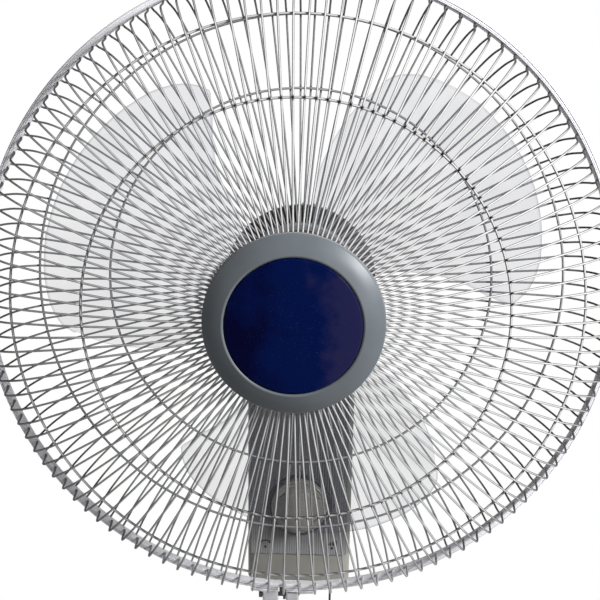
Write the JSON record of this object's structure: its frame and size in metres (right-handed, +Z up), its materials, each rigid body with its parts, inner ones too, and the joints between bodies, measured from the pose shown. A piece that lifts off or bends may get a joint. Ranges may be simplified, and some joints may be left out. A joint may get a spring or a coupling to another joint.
{
  "type": "wall mounted fan",
  "caption": "Wall mounted fan with translucent blades in a round wire guard, on a tilting and swinging motor head over a wall base with a control knob and pull cords.",
  "frame": {"origin": "middle of the wall plate's back face, on the wall plane", "axes": "+Z up, +Y into the wall, the fan blows along -Y, +X to the right of someone facing it"},
  "size_m": [0.44, 0.3139, 0.599],
  "materials": {
    "grey_plastic": "satin",
    "brown_plastic": "satin",
    "black_plastic": "satin",
    "steel": "zinc plated",
    "dark_steel": "blackened",
    "can": "satin",
    "cord": "braided",
    "winding": "lacquered",
    "wire_paint": "semi-gloss",
    "rim_plastic": "semi-gloss",
    "silver_cap": "silver paint, semi-gloss",
    "navy_disc": "high gloss",
    "blade_plastic": "frosted"
  },
  "bodies": {
    "wall_base": {"base_shell": "grey_plastic", "lower_cover": "brown_plastic", "front_panel": "grey_plastic", "knob_bezel": "black_plastic", "wall_plate": "steel", "yoke_screw_l": "dark_steel", "yoke_screw_r": "dark_steel", "cover_screw_l": "dark_steel", "cover_screw_r": "dark_steel", "cable_grommet": "black_plastic", "speed_switch": "black_plastic", "swing_pull_switch": "black_plastic", "speed_pull_switch": "black_plastic", "capacitor": "can", "tilt_yoke": "dark_steel", "tilt_bolt": "steel"},
    "clamp": {"tilt_knob": "black_plastic"},
    "dial": {"speed_knob": "brown_plastic"},
    "speed_line": {"speed_cord": "cord", "speed_pull": "black_plastic"},
    "swing_line": {"swing_cord": "cord", "swing_pull": "black_plastic"},
    "neck": {"neck": "grey_plastic"},
    "head": {"gearbox": "grey_plastic", "motor_front": "grey_plastic", "motor_rear": "grey_plastic", "front_bearing": "steel", "rear_bearing": "steel", "stator": "winding", "rear_guard": "wire_paint", "lock_nut": "rim_plastic", "front_guard": "wire_paint", "rim_band": "rim_plastic", "rim_screw": "dark_steel", "rim_nut": "dark_steel", "cap_ring": "silver_cap", "badge_disc": "navy_disc"},
    "impeller": {"motor_shaft": "steel", "rotor_core": "dark_steel", "blade": "blade_plastic", "spinner_nut": "blade_plastic"}
  },
  "joints": [
    {"name": "knob_turn", "type": "hinge", "parent": "wall_base", "child": "dial", "pos_m": [0, -0.0855, -0.0165], "axis": [0, -1, 0], "range_deg": [-135, 135]},
    {"name": "speed_pull_slide", "type": "slide", "parent": "wall_base", "child": "speed_line", "axis": [0, 0, 1], "range_m": [-0.012, 0], "stiffness_N_per_m": 400, "springref_m": 0.001},
    {"name": "swing_pull_slide", "type": "slide", "parent": "wall_base", "child": "swing_line", "axis": [0, 0, 1], "range_m": [-0.012, 0], "stiffness_N_per_m": 400, "springref_m": 0.001},
    {"name": "clamp_turn", "type": "hinge", "parent": "wall_base", "child": "clamp", "pos_m": [0.022, -0.073, 0.102], "axis": [1, 0, 0], "range_deg": [-180, 180]},
    {"name": "tilt", "type": "hinge", "parent": "wall_base", "child": "neck", "pos_m": [0, -0.073, 0.102], "axis": [1, 0, 0], "range_deg": [-10, 20]},
    {"name": "swing", "type": "hinge", "parent": "neck", "child": "head", "pos_m": [0, -0.105, 0.122], "axis": [0, 0, 1], "range_deg": [-40, 40]},
    {"name": "spin", "type": "hinge", "parent": "head", "child": "impeller", "pos_m": [0, -0.215, 0.188], "axis": [0, -1, 0], "continuous": true}
  ]
}
